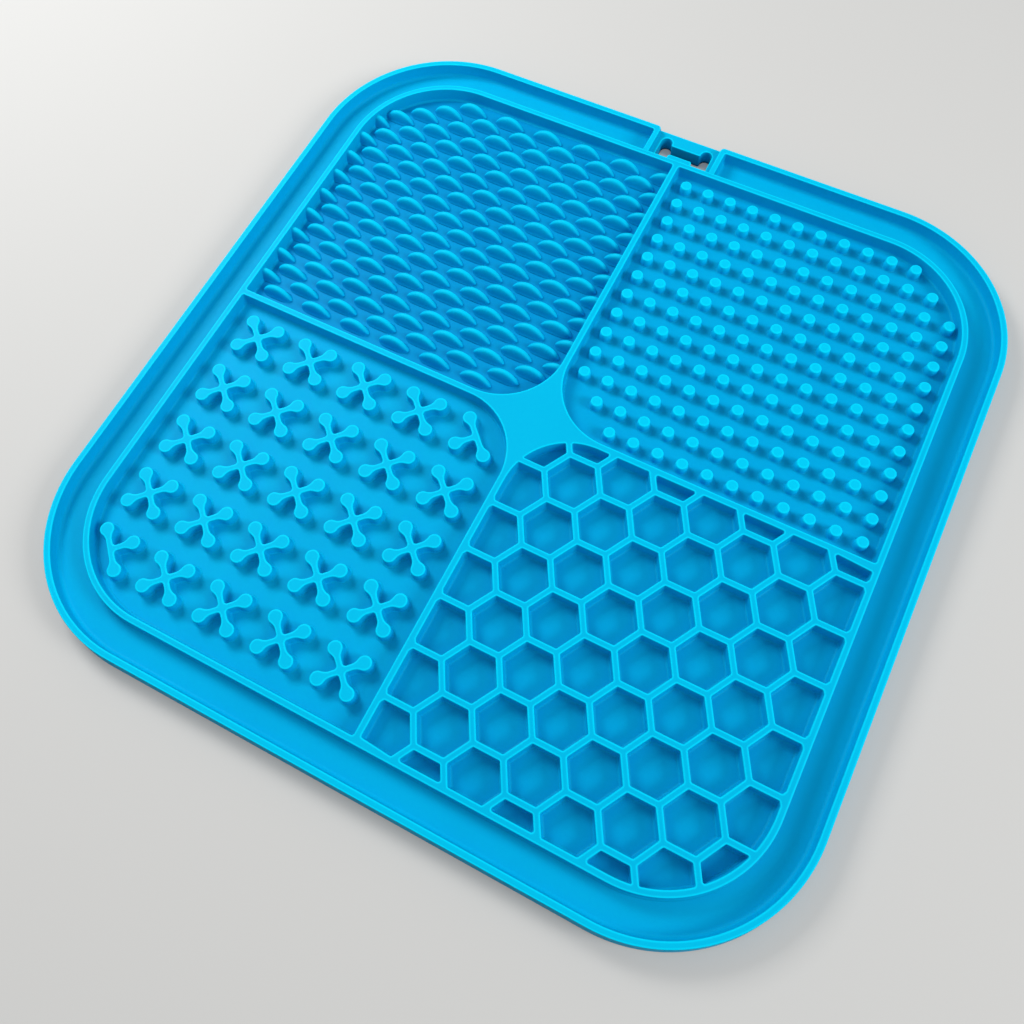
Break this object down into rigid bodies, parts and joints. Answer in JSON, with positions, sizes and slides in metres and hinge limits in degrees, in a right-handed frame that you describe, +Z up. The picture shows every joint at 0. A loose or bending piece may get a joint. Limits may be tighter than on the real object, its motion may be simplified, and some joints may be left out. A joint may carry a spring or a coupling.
{
  "type": "lick mat",
  "caption": "Square silicone lick mat: rounded rim, spill moat and textured feeding fields of scales, dots, crossbones and honeycomb around a star, with a slotted tab for hanging.",
  "frame": {"origin": "centre of the underside, on the surface that the mat lies on", "axes": "+Z up out of the feeding side, +Y towards the edge with the hanging slot, +X to the right seen from above"},
  "size_m": [0.2016, 0.2016, 0.006],
  "materials": {
    "silicone": "moulded cyan-blue silicone, matte with a soft sheen"
  },
  "bodies": {
    "root": {"base_sheet": "silicone", "outer_rim": "silicone", "notch_end_walls": "silicone", "inner_wall": "silicone", "centre_star": "silicone", "divider_right": "silicone", "divider_back": "silicone", "divider_left": "silicone", "divider_front": "silicone", "hang_tab": "silicone", "slot_lug": "silicone", "scale_bumps": "silicone", "dot_pegs": "silicone", "crossbones": "silicone", "honeycomb_walls": "silicone"}
  },
  "joints": []
}
